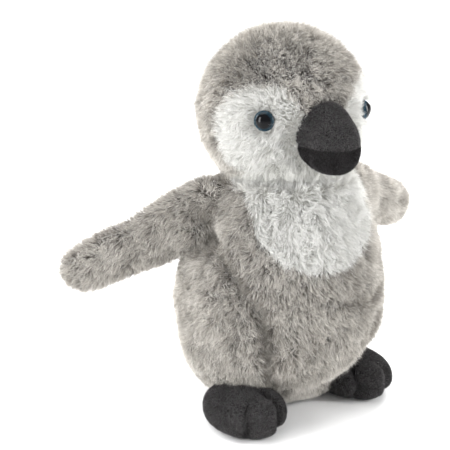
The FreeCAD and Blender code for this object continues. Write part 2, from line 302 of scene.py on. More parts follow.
def knitFinish(name, dark, light, scale=900, bump=0.4):
    # the cloth that the hairs grow from: fine loops with soft blotches
    finish, nodes, links, shader = newFinish(name)
    where = nodes.new("ShaderNodeTexCoord")
    loops = nodes.new("ShaderNodeTexVoronoi")
    loops.inputs["Scale"].default_value = scale
    blotch = nodes.new("ShaderNodeTexNoise")
    blotch.inputs["Scale"].default_value = 160
    blotch.inputs["Detail"].default_value = 5
    tone = ramp(nodes, [(0.3, dark), (0.7, light)])
    relief = nodes.new("ShaderNodeBump")
    relief.inputs["Strength"].default_value = bump
    relief.inputs["Distance"].default_value = 0.0006
    links.new(where.outputs["Object"], loops.inputs["Vector"])
    links.new(where.outputs["Object"], blotch.inputs["Vector"])
    links.new(blotch.outputs["Fac"], tone.inputs["Fac"])
    links.new(tone.outputs["Color"], shader.inputs["Base Color"])
    links.new(loops.outputs["Distance"], relief.inputs["Height"])
    links.new(relief.outputs["Normal"], shader.inputs["Normal"])
    shader.inputs["Roughness"].default_value = 0.95
    shader.inputs["Specular IOR Level"].default_value = 0.1
    return finish


cloth = {"voxel": 5.0, "pressure": 4.0, "frames": 20, "inset": 5.2, "cap": 2.4, "swell": 8.0, "sewn": 0.55}


def stuff(name, points, faces, seamGap, voxel=cloth["voxel"], cap=cloth["cap"]):
    # The cut cloth is remeshed, held along its seams and blown up, and no point moves further than the cap.
    # Without the simulation a point moves out by cap * (1 - exp(-(gap / swell)^2)), where gap is the way
    # from it to the nearest seam.
    draft = putMesh(name + "Draft", points, faces)
    shell = draft.modifiers.new("even", "REMESH")
    shell.mode, shell.voxel_size = "VOXEL", voxel * mm
    even = bpy.data.meshes.new_from_object(draft.evaluated_get(bpy.context.evaluated_depsgraph_get()))
    draft.modifiers.clear()
    draft.data = even
    start = np.empty(len(even.vertices) * 3, np.float32)
    even.vertices.foreach_get("co", start)
    start = start.reshape(-1, 3).astype(float) / mm
    flat, corners = readMesh(even)
    outward = normalsOf(flat, corners)
    gap = seamGap(start)
    if cap <= 0:
        moved = start + outward * (cap * (1 - np.exp(-(gap / cloth["swell"]) ** 2)))[:, None]
    else:
        held = draft.vertex_groups.new(name="sewn")
        held.add([int(i) for i in np.flatnonzero(gap < voxel * cloth["sewn"])], 1.0, "REPLACE")
        air = draft.modifiers.new("air", "CLOTH")
        air.settings.quality = 6
        air.settings.use_pressure = True
        air.settings.uniform_pressure_force = cloth["pressure"]
        air.settings.vertex_group_mass = "sewn"
        air.settings.effector_weights.gravity = 0
        air.settings.tension_stiffness = air.settings.compression_stiffness = 12
        air.settings.bending_stiffness = 0.6
        air.point_cache.frame_start, air.point_cache.frame_end = 1, cloth["frames"]
        for frameNow in range(1, cloth["frames"] + 1):
            scene.frame_set(frameNow)
        blown = bpy.data.meshes.new_from_object(draft.evaluated_get(bpy.context.evaluated_depsgraph_get()))
        moved = np.empty(len(blown.vertices) * 3, np.float32)
        blown.vertices.foreach_get("co", moved)
        moved = moved.reshape(-1, 3).astype(float) / mm
        shift = moved - start
        moved = start + shift * np.minimum(1, cap / np.maximum(lengths(shift), 1e-6))
        draft.modifiers.clear()
        scene.frame_set(1)
    even.vertices.foreach_set("co", (moved * mm).astype(np.float32).ravel())
    even.update()
    finer = draft.modifiers.new("finer", "SUBSURF")
    finer.levels = finer.render_levels = 1
    done = bpy.data.meshes.new_from_object(draft.evaluated_get(bpy.context.evaluated_depsgraph_get()))
    result = readMesh(done)
    bpy.data.objects.remove(draft)
    return result


def lineGap(points, outward, start, end):
    # distance to the line from start to end along the surface: the part along the normal is left out
    start, end = np.array(start, float), np.array(end, float)
    run = end - start
    share = np.clip(((points - start) @ run) / max(run @ run, 1e-9), 0, 1)
    arm = points - (start + share[:, None] * run)
    high = (arm * outward).sum(axis=1)
    return lengths(arm - outward * high[:, None])[:, 0] + np.where(np.abs(high) > 16, 99, 0)


def pinch(points, outward, start, end, width, depth):
    # pushes the surface in along the line from start to end, as a valley with a bell-shaped section
    gap = lineGap(points, outward, start, end)
    return points - outward * (depth * np.exp(-(gap / width) ** 2))[:, None]


longPile = {"length": 6.8, "width": 0.29, "perArea": 5.5, "stand": 17.0, "bend": 27.0, "clump": 1.9,
            "gather": 0.36, "wander": 0.85, "swirl": 12.0, "tintSpread": 0.26, "floor": 0.06,
            "guard": 0.22, "guardLength": 1.13, "guardWidth": 1.25, "guardTint": 0.30,
            "patch": 20.0, "patchTint": 0.75, "tint": 0.60}
# the crown's and the flippers' coats are painted lighter than the body's: painted light from above; the flippers'
# hair is also shorter
crownLitPile = {**longPile, "tint": 0.74}
wingLitPile = {**longPile, "length": 6.4, "tint": 0.66}
whiteLong = {**longPile, "tintSpread": 0.15, "patchTint": 0.4, "guardTint": 0.15, "tint": 0.74}


def scatter(dice, surface, faces, region, perArea):
    # roots spread evenly over the triangles by area, and the way up at each; only those in the region are kept
    points, outward = surface[0], surface[2]
    a, b, c = points[faces[:, 0]], points[faces[:, 1]], points[faces[:, 2]]
    area = lengths(np.cross(b - a, c - a))[:, 0] / 2
    count = int(area.sum() * perArea)
    pick = dice.choice(len(area), count, p=area / area.sum())
    s, t = np.sqrt(dice.random(count))[:, None], dice.random(count)[:, None]
    shares = (1 - s, s * (1 - t), s * t)
    roots = sum(corner[pick] * share for corner, share in zip((a, b, c), shares))
    up = sum(outward[faces[pick, i]] * share for i, share in enumerate(shares))
    inside = region(roots)
    return roots[inside], unit(up[inside])


def putPile(name, blades, triangles, tint, v, finish, nodes, body):
    # each blade is a few hundredths wide on the colour map, so that it keeps one tint
    u = tint[:, None] + np.array([-0.006, 0.006] * (len(v) // 2) + [0.0])
    hairMap = np.stack([u, np.broadcast_to(np.array(v), u.shape)], axis=-1).reshape(-1, 2)
    blades[:, 2] = np.maximum(blades[:, 2], longPile["floor"])
    hairs = putMesh(name, blades, triangles, finish, hairMap)
    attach(hairs, body)
    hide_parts(*nodes)
    print("pile", name, len(tint), "hairs", len(triangles), "triangles")


def growPile(name, surface, region, comb, finish, seed, nodes, body, pile=longPile, trim=None, paintedShade=None):
    # A hair is a narrow blade of three triangles. It stands up from the cloth at the stand angle, bends over by
    # the bend angle half-way up, leans the way the comb field says, and its tip is gathered towards its clump.
    # The shade function gives a share from 0 to 1 by which hairs are painted darker: painted shade in the bottom
    # of a fold and wherever else shade falls. Guard hairs are the few that are longer, lighter and hardly
    # gathered.
    dice = np.random.default_rng(seed)
    points, faces = surface[:2]
    corners = points[faces]
    near = region(corners[:, 0]) | region(corners[:, 1]) | region(corners[:, 2]) | region(corners.mean(axis=1))
    roots, up = scatter(dice, surface, faces[near], region, pile["perArea"])
    count = len(roots)
    # clumps: hairs whose warped roots share a small cell
    warped = roots + rippleVector(roots, 11.0, seed + 3) * pile["clump"] * 0.9
    cell = np.floor(warped / pile["clump"]).astype(np.int64) @ np.array([1000003, 1009, 1])
    clump, member = np.unique(cell, return_inverse=True)
    held = np.bincount(member)
    middle = np.stack([np.bincount(member, roots[:, k]) / held for k in range(3)], axis=1)[member]
    ownWay = dice.normal(size=(len(clump), 3))[member]
    ownLength = dice.normal(1, 0.07, len(clump))[member]
    ownTint = dice.normal(0, 1, len(clump))[member]
    # the way each hair leans
    lean = unit(comb(roots)) + rippleVector(roots, pile["swirl"], seed + 9) * pile["wander"]
    lean += ownWay * 0.34 + dice.normal(size=(count, 3)) * 0.36
    lean = unit(lean - up * (lean * up).sum(axis=1, keepdims=True))
    guard = dice.random(count) < pile["guard"]
    length = pile["length"] * ownLength * dice.normal(1, 0.09, count)
    length = length * np.where(guard, pile["guardLength"], 1)
    if trim is not None:
        length = length * trim(roots)
    length = length[:, None]
    stand = np.radians(pile["stand"] + dice.normal(0, 8, count) + 13 * ripple(roots, 21, 5))[:, None]
    over = stand + np.radians(pile["bend"] + dice.normal(0, 12, count))[:, None]
    half = roots + (up * np.cos(stand) + lean * np.sin(stand)) * length * 0.5
    tip = half + (up * np.cos(over) + lean * np.sin(over)) * length * 0.5
    pull = (pile["gather"] * dice.uniform(0.5, 1.2, count) * np.where(guard, 0.25, 1))[:, None]
    tip += (middle - roots) * pull
    half += (middle - roots) * pull * 0.4
    # blades face outwards, each rolled a little about its own length
    side = unit(np.cross(tip - roots, up))
    face = unit(np.cross(side, tip - roots))
    roll = dice.normal(0, 0.75, count)[:, None]
    side = side * np.cos(roll) + face * np.sin(roll)
    width = (pile["width"] * dice.uniform(0.7, 1.3, count) * np.where(guard, pile["guardWidth"], 1))[:, None]
    roots = roots - up * 0.3
    blades = np.stack([roots - side * width * 0.5, roots + side * width * 0.5,
                       half - side * width * 0.4, half + side * width * 0.4, tip], axis=1).reshape(-1, 3)
    first = (np.arange(count) * 5)[:, None, None]
    triangles = (first + np.array([[0, 1, 3], [0, 3, 2], [2, 3, 4]])).reshape(-1, 3)
    tint = pile["tint"] + pile["tintSpread"] * (0.4 * ownTint + 0.5 * dice.normal(size=count)
                                                + pile["patchTint"] * ripple(middle, pile["patch"], 36))
    tint = tint + np.where(guard, pile["guardTint"], 0)
    # painted shade: hairs are painted darker by the shade share
    if paintedShade is not None:
        tint = tint - 0.7 * paintedShade(roots, up)
    putPile(name, blades, triangles, np.clip(tint, 0.02, 0.98), [0.02, 0.02, 0.5, 0.5, 0.98],
            finish, nodes, body)


def putForm(name, surface, finishes, nodes, body, whichFinish=None):
    # the stuffed form itself; whichFinish gives each face the number of its finish
    points, faces = surface[:2]
    form = putMesh(name, points, faces)
    for finish in finishes:
        form.data.materials.append(finish)
    if whichFinish is not None:
        middles = points[faces].mean(axis=1)
        form.data.polygons.foreach_set("material_index", whichFinish(middles).astype(np.int32))
    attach(form, body)
    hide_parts(*nodes)
    print("form", name, len(faces), "triangles")


# dark roots are partly painted shade between the hairs, light tips partly painted light at the edges of the coat
greyHair = hairFinish("greyPile", (0.11, 0.097, 0.086), (0.42, 0.39, 0.352), (0.98, 0.95, 0.89),
                      (0.48, 0.46, 0.435), sheen=0.6)
whiteHair = hairFinish("whitePile", (0.66, 0.65, 0.60), (0.91, 0.905, 0.88), (0.985, 0.985, 0.97),
                       (0.76, 0.76, 0.735))
greyKnit = knitFinish("greyKnit", (0.10, 0.088, 0.078), (0.16, 0.142, 0.128))
whiteKnit = knitFinish("whiteKnit", (0.62, 0.61, 0.57), (0.72, 0.71, 0.67))
placeCamera()
placeStudio()
print("camera and studio placed")


headLow, headHigh = nodeBox("crown_panel", "left_cheek_panel", "right_cheek_panel")
head = {
    "radius": (headHigh[0] - headLow[0]) / 2,
    "lobeRadius": 26.5, "lobeAngle": 46.0, "lobeTilt": -7.0,
    "chinHalf": 34.0, "chinTop": -8.0, "crownHalf": 20.0,
    "eyeDip": 2.2, "eyeDipWidth": 8.0, "eyeClear": 5.7, "beakClear": 16.5, "nod": 10.0, "turn": 25.0,
}
headMiddle = np.array([0, headHigh[1] - head["radius"], headHigh[2] - head["radius"]])


def pointing(turn, tilt):
    # the direction turned about the upright and tilted up, in degrees, from straight ahead
    turn, tilt = math.radians(turn), math.radians(tilt)
    return np.array([math.sin(turn) * math.cos(tilt), -math.cos(turn) * math.cos(tilt), math.sin(tilt)])


eyeMiddle = {side: sum(nodeBox(side + "_eye_dome")) / 2 for side in ("left", "right")}


def lobeEdge(points, sign):
    # how far outside the round white patch of one side a point is, in millimetres, negative inside
    axis = pointing(sign * head["lobeAngle"], head["lobeTilt"])
    arm = points - headMiddle
    ahead = arm @ axis
    return np.where(ahead > 0, lengths(arm - ahead[:, None] * axis)[:, 0] - head["lobeRadius"], 99.0)


def chinEdge(points):
    # the greatest of the ways past the side, the top and the front of a box under the beak
    arm = points - headMiddle
    return np.maximum.reduce([np.abs(arm[:, 0]) - head["chinHalf"], arm[:, 2] - head["chinTop"], arm[:, 1]])


def whiteEdge(points):
    # the least of the three patches' own edges
    return np.minimum(np.minimum(lobeEdge(points, 1), lobeEdge(points, -1)), chinEdge(points))


def headSeams(points):
    # the nearer of the white patches' edge and the two seams of the crown gusset
    crown = np.abs(np.abs(points[:, 0]) - head["crownHalf"]) + np.where(whiteEdge(points) < 0, 99, 0)
    return np.minimum(np.abs(whiteEdge(points)), crown)


def ballGrid(middle, radius, rows=60, columns=96):
    # a sphere from its south pole to its north pole
    rise = np.linspace(-math.pi / 2, math.pi / 2, rows + 2)[1:-1, None]
    turn = np.linspace(0, 2 * math.pi, columns, endpoint=False)[None, :]
    level = np.cos(rise)
    rings = np.stack([level * np.cos(turn), level * np.sin(turn), np.sin(rise) + 0 * turn], axis=-1)
    return closedTube(rings * radius + middle)


points, faces = ballGrid(headMiddle, head["radius"] - cloth["inset"])
points, faces = stuff("head", points, faces, headSeams)
outward = normalsOf(points, faces)
for side in ("left", "right"):
    gap = lengths(points - eyeMiddle[side])[:, 0]
    points = points - outward * (head["eyeDip"] * np.exp(-(gap / head["eyeDipWidth"]) ** 2))[:, None]
headSurface = (points, faces, normalsOf(points, faces))
print("head stuffed", len(faces))

putForm("headBody", headSurface, [greyKnit, whiteKnit], ["head_stuffing"], "head",
        lambda p: whiteEdge(p) < 0)

beakRoot = np.array([0, -45.0, headMiddle[2] - 5.0])


def awayFrom(points, centre):
    # the direction from the centre to each point
    return unit(points - centre)


def headComb(points):
    # grey hair flows from a whorl at the back of the head, forward over the crown and down the sides
    whorl = headMiddle + np.array([0, 0.62, 0.78]) * head["radius"]
    return awayFrom(points, whorl) + [0, 0, -0.35]


def faceComb(points):
    # white hair sweeps out from the beak and away from each eye
    flow = awayFrom(points, beakRoot) + [0, 0, -0.35]
    for side in ("left", "right"):
        gap = lengths(points - eyeMiddle[side])
        flow = flow + awayFrom(points, eyeMiddle[side]) * 3.0 * np.exp(-(gap / 9.0) ** 2)
    return flow


def faceTrim(points):
    # hair is clipped short round the eyes and at the root of the beak
    trim = np.ones(len(points))
    for side in ("left", "right"):
        gap = lengths(points - eyeMiddle[side])[:, 0]
        trim = trim * (0.40 + 0.60 * smoothStep(gap, 5.5, 11.0))
    gap = lengths(points - beakRoot)[:, 0]
    return trim * (0.45 + 0.55 * smoothStep(gap, 19.0, 27.0))


def facePaintedShade(points, outward):
    # painted shade: the face is painted greyer low down, under the beak and along the jaw
    return 0.75 * (1 - smoothStep(points[:, 2] - headMiddle[2], -32, -4))


def offEye(points):
    # true outside both eyes
    clear = np.ones(len(points), bool)
    for side in ("left", "right"):
        clear &= lengths(points - eyeMiddle[side])[:, 0] > head["eyeClear"]
    return clear


def offBeak(points):
    # true outside the beak's root, seen along its length
    return (lengths((points - beakRoot)[:, [0, 2]])[:, 0] > head["beakClear"]) | (points[:, 1] > 0)


def headShown(points):
    # no hair where the head sits in the top of the torso
    return lengths((points - headMiddle)[:, :2])[:, 0] > np.where(points[:, 2] < headMiddle[2], 33.0, -1)


growPile("crownPile", headSurface,
         lambda p: (whiteEdge(p) >= 0) & (np.abs(p[:, 0]) < head["crownHalf"]) & headShown(p),
         headComb, greyHair, 11, ["crown_panel"], "head", pile=crownLitPile, trim=faceTrim)
for side, sign, seed in (("left", 1, 12), ("right", -1, 13)):
    growPile(side + "CheekPile", headSurface,
             lambda p: (whiteEdge(p) >= 0) & (sign * p[:, 0] >= head["crownHalf"]) & headShown(p),
             headComb, greyHair, seed, [side + "_cheek_panel"], "head")
    growPile(side + "FacePile", headSurface,
             lambda p: (whiteEdge(p) < 0) & (sign * p[:, 0] >= 0) & headShown(p) & offEye(p) & offBeak(p),
             faceComb, whiteHair, seed + 10, [side + "_face_panel"], "head", pile=whiteLong,
             trim=faceTrim, paintedShade=facePaintedShade)
print("head covered")


torsoLow, torsoHigh = nodeBox("belly_panel", "seat_panel", "left_side_panel", "right_side_panel",
                              "bib_panel")
torso = {
    "bellyHalf": (torsoHigh[0] - torsoLow[0]) / 2, "seatHalf": 28.0, "neckHalf": 44.0,
    "bellyHeight": 70.0, "height": torsoHigh[2], "seatBack": 14.0, "chestForward": 6.0,
    "bellyFlat": 8.0, "neckFlat": 2.0, "seatSeam": 8.0, "bellyAngle": 40.0,
    "bibHalf": 37.0, "bibWide": 125.0, "bibBottom": 99.0, "headGap": 0.6, "sideSplit": 10.0,
}


torsoFolds = [  # the lines where the stuffing gives and the coat folds in: start, end, width, depth
    ((-55, -25, 108), (-51, -39, 91), 4.0, 5.2),
    ((-51, -39, 91), (-44, -48, 79), 5.0, 2.6),
    ((-43, -48, 80), (-40, -49, 67), 4.5, 4.8),
    ((-40, -49, 67), (-37, -49, 47), 4.6, 5.4),
    ((-37, -49, 47), (-30, -43, 22), 4.6, 5.2),
    ((-26, -52, 30), (-20, -44, 20), 6.0, 3.2),
    ((12, -60, 80), (36, -53, 76), 4.0, 3.2),
    ((36, -53, 76), (50, -42, 80), 4.0, 3.8),
    ((43, -48, 60), (36, -48, 36), 4.5, 4.0),
    ((47, -42, 97), (53, -30, 92), 5.0, 3.4),
    ((0, 62, 100), (0, 66, 60), 5.0, 2.6),
    ((-50, 5, 140), (-52, 2, 127), 7.0, 4.5),
    ((-52, 2, 127), (-58, -3, 112), 7.0, 6.0),
    ((50, 5, 138), (54, 1, 118), 7.0, 3.5),
    ((38, -42, 22), (56, -24, 24), 17.0, 5.0),
    ((12, -46, 12), (44, -32, 22), 12.0, 6.0),
]
# a soft patch of painted shade: the coat is painted darker on the lower front
torsoShadePatch = {"middle": (-30, -52, 60), "size": 40.0, "paintedShade": 0.28}  # where the coat is darker
torsoLumps = {"size": 46.0, "height": 1.5, "tuck": 3.0, "tuckTop": 46.0}


def torsoSection(height):
    # half width, half depth and the middle's y at each height: a pear that leans forward as it rises
    rise = np.clip(height / torso["bellyHeight"], 0, 1)
    climb = np.clip((height - torso["bellyHeight"]) / (torso["height"] - torso["bellyHeight"]), 0, 1)
    low = torso["seatHalf"] + (torso["bellyHalf"] - torso["seatHalf"]) * (1 - (1 - rise) ** 2.4) ** (1 / 2.4)
    narrowing = np.clip(np.cos(math.pi / 2 * climb), 0, 1) ** 1.4
    high = torso["neckHalf"] + (torso["bellyHalf"] - torso["neckHalf"]) * narrowing
    wide = np.where(height < torso["bellyHeight"], low, high)
    flat = torso["neckFlat"] + (torso["bellyFlat"] - torso["neckFlat"]) * np.minimum(rise, 1 - climb)
    middle = torso["seatBack"] * (1 - rise) ** 2 - torso["chestForward"] * climb
    return wide, wide - flat, middle


def bibEdge(points):
    # an upright half ellipse below the widest height, straight sides above it; negative inside
    below = (np.sqrt((points[:, 0] / torso["bibHalf"]) ** 2
             + ((points[:, 2] - torso["bibWide"]) / (torso["bibWide"] - torso["bibBottom"])) ** 2) - 1) * 26
    above = np.abs(points[:, 0]) - torso["bibHalf"]
    return np.where(points[:, 1] < 0, np.where(points[:, 2] < torso["bibWide"], below, above), 99.0)


def bellyEdge(points):
    # how far outside the front wedge a point is
    turn = math.radians(torso["bellyAngle"])
    return np.abs(points[:, 0]) * math.cos(turn) + points[:, 1] * math.sin(turn)


def torsoSeams(points):
    # the nearest of the seat seam, the bib's edge, the two belly seams and the centre back seam
    noWedge = (bibEdge(points) < 0) * 99 + (points[:, 1] > 0) * 99
    gaps = [np.abs(points[:, 2] - torso["seatSeam"]), np.abs(bibEdge(points)),
            np.abs(bellyEdge(points)) + noWedge,
            np.abs(points[:, 0]) + np.where(points[:, 1] < 0, 99, 0)]
    return np.minimum.reduce(gaps)


def torsoGrid(inset):
    # ellipses of torsoSection at 70 heights, drawn in at both ends and less the inset all round
    top = torso["height"] - inset
    heights = np.concatenate([[inset, inset], np.linspace(inset, top, 70), [top, top]])
    shrink = np.concatenate([[0.3, 0.8], np.ones(70), [0.7, 0.3]])[:, None]
    wide, deep, middle = (value[:, None] for value in torsoSection(heights))
    turn = np.linspace(0, 2 * math.pi, 110, endpoint=False)[None, :]
    rings = np.stack([np.cos(turn) * (wide - inset) * shrink,
                      np.sin(turn) * (deep - inset) * shrink + middle,
                      heights[:, None] + 0 * turn], axis=-1)
    return closedTube(rings)


flipper = {"rootRadius": 21.0, "tipRadius": 14.5, "length": 88.0, "halfThick": 10.5,
           "droop": {"left": 19.0, "right": 26.5}, "inset": 2.2, "cap": 1.2, "pocket": -6.0, "under": 2.5,
           "sewnFrom": 6.0, "hairFrom": -12.0}
joints = {joint["name"]: joint for joint in frame["joints"]}


def swung(point, name, angle):
    # a point turned about a joint: Rodrigues' formula
    pivot, axis = np.array(joints[name]["pos_m"], float) / mm, unit(np.array(joints[name]["axis"], float))
    arm, angle = point - pivot, math.radians(angle)
    return (pivot + arm * math.cos(angle) + np.cross(axis, arm) * math.sin(angle)
            + axis * (axis @ arm) * (1 - math.cos(angle)))


def headTravel():
    # where the middle of the head goes as it nods and turns; the torso stays clear of it all the way
    nod, turn = head["nod"], head["turn"]
    nodded = [swung(headMiddle, "head_nod", angle) for angle in (-nod, 0, nod)]
    return [swung(middle, "head_turn", angle) for middle in nodded for angle in (-turn, 0, turn)]


def flipperPlace(side):
    # the shoulder and three directions: out along the flipper, through it, and up its width
    joint = joints[side + "_flipper_lift"]
    sign = 1 if side == "left" else -1
    axis = np.array(joint["axis"], float)
    sweep = math.atan2(abs(axis[0]), abs(axis[1]))
    droop = math.radians(flipper["droop"][side])
    level = math.cos(droop)
    out = np.array([sign * math.cos(sweep) * level, math.sin(sweep) * level, -math.sin(droop)])
    through = np.array([-sign * math.sin(sweep), math.cos(sweep), 0])
    width = np.cross(out, through) * sign
    return np.array(joint["pos_m"], float) / mm, out, through, width


def flipperLocal(points, place):
    # how far out along a flipper, through it and up its width each point lies
    shoulder, out, through, width = place
    arm = points - shoulder
    return arm @ out, arm @ through, arm @ width


def flipperOutline(x, inset):
    # half width at each place along the flipper: two circles joined by straight tapering sides
    root, tip, run = flipper["rootRadius"] - inset, flipper["tipRadius"] - inset, flipper["length"]
    lean = (root - tip) / run
    straight = (root - x * lean) / math.sqrt(1 - lean ** 2)
    start, end = root * lean, run + tip * lean
    return np.where(x < start, np.sqrt(np.maximum(root ** 2 - x ** 2, 0)),
                    np.where(x > end, np.sqrt(np.maximum(tip ** 2 - (x - run) ** 2, 0)), straight))


def flipperPocket(points, place):
    # torso cloth outside the front of a flipper's root is drawn in to just under the flipper's own cloth
    x, y, z = flipperLocal(points, place)
    half = np.maximum(flipperOutline(x, flipper["inset"]), 0.01)
    deep = half * flipper["halfThick"] / flipper["rootRadius"] * np.sqrt(np.clip(1 - (z / half) ** 2, 0, 1))
    share = (1 - smoothStep(np.abs(z), half - 1, half + 4)) * (y > -40) * (y < 4)
    share = share * smoothStep(x, flipper["pocket"] - 3, flipper["pocket"] + 3)
    wanted = flipper["under"] - deep
    return points + place[2] * (np.maximum(wanted - y, 0) * share)[:, None]


points, faces = torsoGrid(cloth["inset"])
points, faces = stuff("torso", points, faces, torsoSeams)
outward = normalsOf(points, faces)
points = points + outward * (torsoLumps["height"] * ripple(points, torsoLumps["size"], 2))[:, None]
tuck = torsoLumps["tuck"] * (1 - smoothStep(points[:, 2], 0, torsoLumps["tuckTop"]))
points = points - outward * [1, 1, 0.2] * tuck[:, None]
for start, end, width, depth in torsoFolds:
    points = pinch(points, outward, start, end, width, depth)
for side in ("left", "right"):
    points = flipperPocket(points, flipperPlace(side))
room = head["radius"] - cloth["inset"] + cloth["cap"] + torso["headGap"]
for centre in headTravel():
    arm = points - centre
    reach = lengths(arm)
    points = np.where(reach < room, centre + arm / np.maximum(reach, 1e-6) * room, points)
torsoSurface = (points, faces, normalsOf(points, faces))
print("torso stuffed", len(faces))

putForm("torsoBody", torsoSurface, [greyKnit, whiteKnit], ["torso_stuffing", "pellet_pouch"], "torso",
        lambda p: bibEdge(p) < 0)


def torsoComb(points):
    # the coat hangs down and fans a little outwards
    return np.stack([points[:, 0] * 0.006, points[:, 1] * 0.006, np.full(len(points), -0.8)], axis=1)


def bibComb(points):
    # the bib's coat hangs straight down
    return np.stack([points[:, 0] * 0.003, np.full(len(points), -0.1), np.full(len(points), -1.0)], axis=1)


def torsoTrim(points):
    # the coat is pressed short underneath and where it meets the feet
    return 0.55 + 0.45 * smoothStep(points[:, 2], 8.0, 42.0)


def torsoShown(points):
    # no hair where the torso meets the head
    return lengths(points - headMiddle)[:, 0] > room + 0.8


def torsoPaintedShade(points, outward):
    # painted shade from 0 to 1: how deep a point lies in its nearest narrow fold, beside each flipper's root where
    # it turns in, and in a soft patch on the lower front
    depths = [deep / 6 * np.exp(-(lineGap(points, outward, start, end) / (width * 0.85)) ** 2)
              for start, end, width, deep in torsoFolds if width < 10]
    for side in ("left", "right"):
        x, y, z = flipperLocal(points, flipperPlace(side))
        beside = (np.abs(z) < flipper["rootRadius"] + 3) & (np.abs(y) < 30)
        depths.append(0.85 * smoothStep(x, flipper["pocket"] - 5, flipper["pocket"] + 1) * beside)
    gap = lengths(points - torsoShadePatch["middle"])[:, 0]
    return np.maximum.reduce(depths) + torsoShadePatch["paintedShade"] * np.exp(-(gap / torsoShadePatch["size"]) ** 2)


def sidePart(sign, front):
    # the front or the back half of one side panel
    def region(p):
        outside = (bibEdge(p) >= 0) & (bellyEdge(p) >= 0) & (p[:, 2] > torso["seatSeam"])
        return outside & ((p[:, 0] >= 0) == (sign > 0)) & ((p[:, 1] < torso["sideSplit"]) == front)
    return region


def frontPart(p):
    # the belly panel: the front wedge outside the bib and above the seat
    return (bibEdge(p) >= 0) & (bellyEdge(p) < 0) & (p[:, 2] > torso["seatSeam"])


torsoRegions = {
    "bellyPile": (frontPart, "belly_panel"),
    "seatPile": (lambda p: p[:, 2] <= torso["seatSeam"], "seat_panel"),
    "leftSideFrontPile": (sidePart(1, True), "left_side_panel"),
    "leftSideBackPile": (sidePart(1, False), "left_side_panel"),
    "rightSideFrontPile": (sidePart(-1, True), "right_side_panel"),
    "rightSideBackPile": (sidePart(-1, False), "right_side_panel"),
}
for seed, (name, (region, node)) in enumerate(torsoRegions.items()):
    growPile(name, torsoSurface, lambda p: region(p) & torsoShown(p), torsoComb, greyHair, 30 + seed, [node],
             "torso", trim=torsoTrim, paintedShade=torsoPaintedShade)
growPile("bibPile", torsoSurface, lambda p: (bibEdge(p) < 0) & torsoShown(p), bibComb, whiteHair, 40,
         ["bib_panel"], "torso", pile=whiteLong)
print("torso covered")


beak = {"baseRadius": 19.5, "slim": 0.12, "length": 32.0, "droop": 25.0, "taper": 2.2, "round": 1.8,
        "seamDrop": 5.4, "seamClimb": 0.03, "seamWidth": 1.0, "seamDepth": 0.8}


def beakAxes():
    # forward along the beak's droop, and square to it upwards
    turn = math.radians(beak["droop"])
    return np.array([0, -math.cos(turn), -math.sin(turn)]), np.array([0, -math.sin(turn), math.cos(turn)])


def beakSeam(points):
    # height over the nearly level plane where the upper and the lower panel are sewn together
    arm = points - beakRoot
    return arm[:, 2] + beak["seamDrop"] + arm[:, 1] * beak["seamClimb"]


def beakGrid(inset):
    # a rounded cone turned about its drooping axis: radius falls as (1 - share ^ taper) ^ (1 / round)
    forward, lift = beakAxes()
    share = np.sin(np.linspace(0, math.pi / 2, 40))[:-1, None]
    radius = (beak["baseRadius"] - inset) * (1 - share ** beak["taper"]) ** (1 / beak["round"])
    turn = np.linspace(0, 2 * math.pi, 72, endpoint=False)[None, :]
    slim = 0.96 - beak["slim"] * smoothStep(np.sin(turn), -0.2, 1.0)
    wide, high = (radius * np.cos(turn) * slim)[..., None], (radius * np.sin(turn))[..., None]
    rings = (beakRoot + forward * ((beak["length"] - inset) * share)[..., None]
             + np.array([1.0, 0, 0]) * wide + lift * high)
    back = rings[:1] - forward * 6.0
    return closedTube(np.concatenate([back, rings]))


velboa = {"length": 1.5, "width": 0.30, "perArea": 13.0, "stand": 34.0, "wander": 0.7, "swirl": 9.0}


def growVelboa(name, surface, region, comb, finish, seed, nodes, body):
    # short pile: each hair is one narrow triangle that leans with the nap
    dice = np.random.default_rng(seed)
    roots, up = scatter(dice, surface, surface[1], region, velboa["perArea"])
    count = len(roots)
    lean = unit(comb(roots)) + rippleVector(roots, velboa["swirl"], seed + 9) * velboa["wander"]
    lean = lean + dice.normal(size=(count, 3)) * 0.45
    lean = unit(lean - up * (lean * up).sum(axis=1, keepdims=True))
    stand = velboa["stand"] + dice.normal(0, 11, count) + 12 * ripple(roots, 12, seed + 20)
    stand = np.radians(stand)[:, None]
    length = velboa["length"] * dice.normal(1, 0.15, count)[:, None]
    tip = roots + (up * np.cos(stand) + lean * np.sin(stand)) * length
    side = unit(np.cross(tip - roots, up))
    face = unit(np.cross(side, tip - roots))
    roll = dice.normal(0, 0.8, count)[:, None]
    side = (side * np.cos(roll) + face * np.sin(roll)) * velboa["width"] * 0.5
    roots = roots - up * 0.1
    blades = np.stack([roots - side, roots + side, tip], axis=1).reshape(-1, 3)
    tint = np.clip(0.5 + 0.16 * dice.normal(size=count) + 0.3 * ripple(roots, 15, seed + 31), 0.02, 0.98)
    putPile(name, blades, np.arange(count * 3).reshape(-1, 3), tint, [0.02, 0.02, 0.98],
            finish, nodes, body)


charcoalHair = hairFinish("charcoalNap", (0.017, 0.015, 0.016), (0.040, 0.036, 0.037), (0.15, 0.139, 0.141),
                          (0.45, 0.43, 0.43), sheen=0.5, roughness=0.6)
# the beak's lower panel gets the same nap painted darker: painted shade under the beak
beakUnderShadeNap = hairFinish("charcoalNapPaintedShade", (0.009, 0.008, 0.008), (0.019, 0.017, 0.018), (0.048, 0.043, 0.045),
                       (0.62, 0.60, 0.60), sheen=0.12, roughness=0.7)
charcoalCloth = knitFinish("charcoalVelboa", (0.020, 0.017, 0.018), (0.034, 0.030, 0.031), 1500, 0.3)

